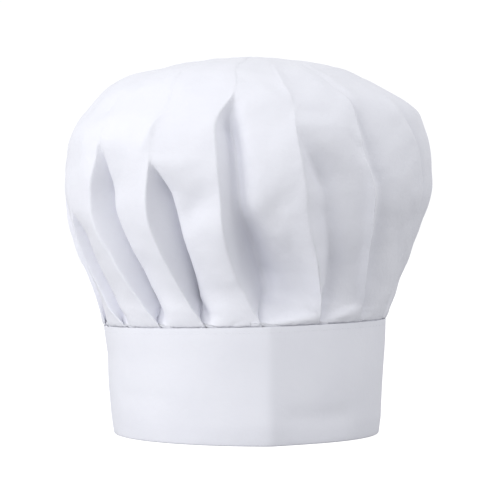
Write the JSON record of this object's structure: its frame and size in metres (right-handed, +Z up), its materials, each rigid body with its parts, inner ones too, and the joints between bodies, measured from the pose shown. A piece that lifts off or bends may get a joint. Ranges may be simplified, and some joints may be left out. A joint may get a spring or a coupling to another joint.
{
  "type": "chef hat",
  "caption": "Tall white cloth chef hat with a puffed, knife-pleated crown gathered into a deep upright headband, hollow and open below.",
  "frame": {"origin": "centre of the bounding box at the level of the band's lower edge, on which the hat rests", "axes": "+Z up through the crown, -Y towards the front of the hat, +X towards the viewer's right"},
  "size_m": [0.2539, 0.2562, 0.262],
  "materials": {
    "crown_cotton": "matt woven white cotton",
    "band_cotton": "matt woven white cotton, pressed flat"
  },
  "bodies": {
    "root": {"crown": "crown_cotton", "band": "band_cotton"}
  },
  "joints": []
}
